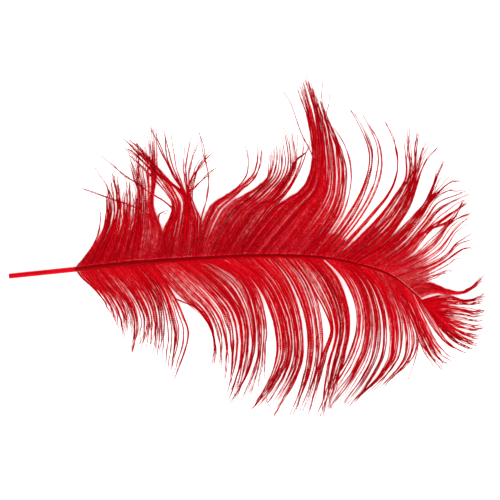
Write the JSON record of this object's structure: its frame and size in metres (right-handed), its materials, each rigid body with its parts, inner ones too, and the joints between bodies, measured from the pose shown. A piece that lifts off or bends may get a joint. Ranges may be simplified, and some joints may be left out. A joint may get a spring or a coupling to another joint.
{
  "type": "dyed plume feather",
  "caption": "Loose-barbed dyed plume feather lying flat, with a bare hollow quill, a curved rachis and two open vanes whose locks of barbs fold up.",
  "frame": {"origin": "centre of the cut end of the quill", "axes": "+X from the quill to the tip, along the quill; +Y towards the upper vane; +Z out of the feather's outer face, up as it lies"},
  "size_m": [0.1487, 0.1051, 0.0095],
  "materials": {
    "dyed_quill": "satin",
    "pith": "matte",
    "dyed_barbs": "satin"
  },
  "bodies": {
    "stem": {"quill_wall": "dyed_quill", "quill_pulp_caps": "pith", "rachis_cortex": "dyed_quill", "rachis_pith": "pith", "tip_lock_01": "dyed_barbs", "tip_lock_02": "dyed_barbs"},
    "upper_vane_1": {"upper_lock_01": "dyed_barbs", "upper_lock_02": "dyed_barbs", "upper_lock_03": "dyed_barbs", "upper_lock_04": "dyed_barbs", "upper_lock_05": "dyed_barbs", "upper_lock_06": "dyed_barbs"},
    "upper_vane_2": {"upper_lock_07": "dyed_barbs", "upper_lock_08": "dyed_barbs", "upper_lock_09": "dyed_barbs", "upper_lock_10": "dyed_barbs"},
    "upper_vane_3": {"upper_lock_11": "dyed_barbs", "upper_lock_12": "dyed_barbs", "upper_lock_13": "dyed_barbs", "upper_lock_14": "dyed_barbs"},
    "upper_vane_4": {"upper_lock_15": "dyed_barbs", "upper_lock_16": "dyed_barbs", "upper_lock_17": "dyed_barbs", "upper_lock_18": "dyed_barbs", "upper_lock_19": "dyed_barbs"},
    "upper_vane_5": {"upper_lock_20": "dyed_barbs", "upper_lock_21": "dyed_barbs", "upper_lock_22": "dyed_barbs"},
    "upper_vane_6": {"upper_lock_23": "dyed_barbs", "upper_lock_24": "dyed_barbs"},
    "upper_vane_7": {"upper_lock_25": "dyed_barbs", "upper_lock_26": "dyed_barbs"},
    "upper_vane_8": {"upper_lock_27": "dyed_barbs"},
    "lower_vane_1": {"lower_lock_01": "dyed_barbs", "lower_lock_02": "dyed_barbs", "lower_lock_03": "dyed_barbs", "lower_lock_04": "dyed_barbs", "lower_lock_05": "dyed_barbs", "lower_lock_06": "dyed_barbs"},
    "lower_vane_2": {"lower_lock_07": "dyed_barbs", "lower_lock_08": "dyed_barbs", "lower_lock_09": "dyed_barbs", "lower_lock_10": "dyed_barbs", "lower_lock_11": "dyed_barbs"},
    "lower_vane_3": {"lower_lock_12": "dyed_barbs", "lower_lock_13": "dyed_barbs", "lower_lock_14": "dyed_barbs", "lower_lock_15": "dyed_barbs", "lower_lock_16": "dyed_barbs"},
    "lower_vane_4": {"lower_lock_17": "dyed_barbs", "lower_lock_18": "dyed_barbs", "lower_lock_19": "dyed_barbs", "lower_lock_20": "dyed_barbs", "lower_lock_21": "dyed_barbs"},
    "lower_vane_5": {"lower_lock_22": "dyed_barbs", "lower_lock_23": "dyed_barbs"},
    "lower_vane_6": {"lower_lock_24": "dyed_barbs", "lower_lock_25": "dyed_barbs"},
    "lower_vane_7": {"lower_lock_26": "dyed_barbs"},
    "lower_vane_8": {"lower_lock_27": "dyed_barbs"}
  },
  "joints": [
    {"name": "upper_fold_1", "type": "hinge", "parent": "stem", "child": "upper_vane_1", "pos_m": [0.03325, -0.00001, 0.00045], "axis": [0.9986, -0.0079, 0.0517], "range_deg": [0, 60], "stiffness_Nm_per_rad": 0.00001},
    {"name": "upper_fold_2", "type": "hinge", "parent": "stem", "child": "upper_vane_2", "pos_m": [0.0513, -0.00042, 0.00177], "axis": [0.9955, -0.0393, 0.0859], "range_deg": [0, 60], "stiffness_Nm_per_rad": 0.00001},
    {"name": "upper_fold_3", "type": "hinge", "parent": "stem", "child": "upper_vane_3", "pos_m": [0.0648, -0.00097, 0.00277], "axis": [0.9975, -0.0414, 0.0565], "range_deg": [0, 60], "stiffness_Nm_per_rad": 0.00001},
    {"name": "upper_fold_4", "type": "hinge", "parent": "stem", "child": "upper_vane_4", "pos_m": [0.083, -0.00224, 0.00303], "axis": [0.9946, -0.1011, -0.0237], "range_deg": [0, 60], "stiffness_Nm_per_rad": 0.00001},
    {"name": "upper_fold_5", "type": "hinge", "parent": "stem", "child": "upper_vane_5", "pos_m": [0.09875, -0.00442, 0.00223], "axis": [0.9751, -0.2075, -0.0784], "range_deg": [0, 60], "stiffness_Nm_per_rad": 0.00001},
    {"name": "upper_fold_6", "type": "hinge", "parent": "stem", "child": "upper_vane_6", "pos_m": [0.1085, -0.0072, 0.00139], "axis": [0.9429, -0.3228, -0.0817], "range_deg": [0, 60], "stiffness_Nm_per_rad": 0.00001},
    {"name": "upper_fold_7", "type": "hinge", "parent": "stem", "child": "upper_vane_7", "pos_m": [0.11835, -0.01145, 0.00061], "axis": [0.8505, -0.5227, -0.058], "range_deg": [0, 60], "stiffness_Nm_per_rad": 0.00001},
    {"name": "upper_fold_8", "type": "hinge", "parent": "stem", "child": "upper_vane_8", "pos_m": [0.1253, -0.01711, 0.00021], "axis": [0.687, -0.7261, -0.0296], "range_deg": [0, 60], "stiffness_Nm_per_rad": 0.00001},
    {"name": "lower_fold_1", "type": "hinge", "parent": "stem", "child": "lower_vane_1", "pos_m": [0.0334, -0.00001, 0.00046], "axis": [-0.9986, 0.0082, -0.0521], "range_deg": [0, 60], "stiffness_Nm_per_rad": 0.00001},
    {"name": "lower_fold_2", "type": "hinge", "parent": "stem", "child": "lower_vane_2", "pos_m": [0.05365, -0.00052, 0.00196], "axis": [-0.9958, 0.0394, -0.0827], "range_deg": [0, 60], "stiffness_Nm_per_rad": 0.00001},
    {"name": "lower_fold_3", "type": "hinge", "parent": "stem", "child": "lower_vane_3", "pos_m": [0.0717, -0.00133, 0.00303], "axis": [-0.9979, 0.0592, -0.0277], "range_deg": [0, 60], "stiffness_Nm_per_rad": 0.00001},
    {"name": "lower_fold_4", "type": "hinge", "parent": "stem", "child": "lower_vane_4", "pos_m": [0.0903, -0.00307, 0.00278], "axis": [-0.9893, 0.1353, 0.0539], "range_deg": [0, 60], "stiffness_Nm_per_rad": 0.00001},
    {"name": "lower_fold_5", "type": "hinge", "parent": "stem", "child": "lower_vane_5", "pos_m": [0.1033, -0.00553, 0.00185], "axis": [-0.9583, 0.2734, 0.0831], "range_deg": [0, 60], "stiffness_Nm_per_rad": 0.00001},
    {"name": "lower_fold_6", "type": "hinge", "parent": "stem", "child": "lower_vane_6", "pos_m": [0.1118, -0.00837, 0.00111], "axis": [-0.9338, 0.3492, 0.0779], "range_deg": [0, 60], "stiffness_Nm_per_rad": 0.00001},
    {"name": "lower_fold_7", "type": "hinge", "parent": "stem", "child": "lower_vane_7", "pos_m": [0.1185, -0.01132, 0.00059], "axis": [-0.8598, 0.5072, 0.0588], "range_deg": [0, 60], "stiffness_Nm_per_rad": 0.00001},
    {"name": "lower_fold_8", "type": "hinge", "parent": "stem", "child": "lower_vane_8", "pos_m": [0.1242, -0.01603, 0.00026], "axis": [-0.7072, 0.7062, 0.0336], "range_deg": [0, 60], "stiffness_Nm_per_rad": 0.00001}
  ],
  "couplings": [
    {"joint": "upper_fold_2", "follows": "upper_fold_1", "ratio": 1},
    {"joint": "upper_fold_3", "follows": "upper_fold_1", "ratio": 1},
    {"joint": "upper_fold_4", "follows": "upper_fold_1", "ratio": 1},
    {"joint": "upper_fold_5", "follows": "upper_fold_1", "ratio": 1},
    {"joint": "upper_fold_6", "follows": "upper_fold_1", "ratio": 1},
    {"joint": "upper_fold_7", "follows": "upper_fold_1", "ratio": 1},
    {"joint": "upper_fold_8", "follows": "upper_fold_1", "ratio": 1},
    {"joint": "lower_fold_2", "follows": "lower_fold_1", "ratio": 1},
    {"joint": "lower_fold_3", "follows": "lower_fold_1", "ratio": 1},
    {"joint": "lower_fold_4", "follows": "lower_fold_1", "ratio": 1},
    {"joint": "lower_fold_5", "follows": "lower_fold_1", "ratio": 1},
    {"joint": "lower_fold_6", "follows": "lower_fold_1", "ratio": 1},
    {"joint": "lower_fold_7", "follows": "lower_fold_1", "ratio": 1},
    {"joint": "lower_fold_8", "follows": "lower_fold_1", "ratio": 1}
  ]
}
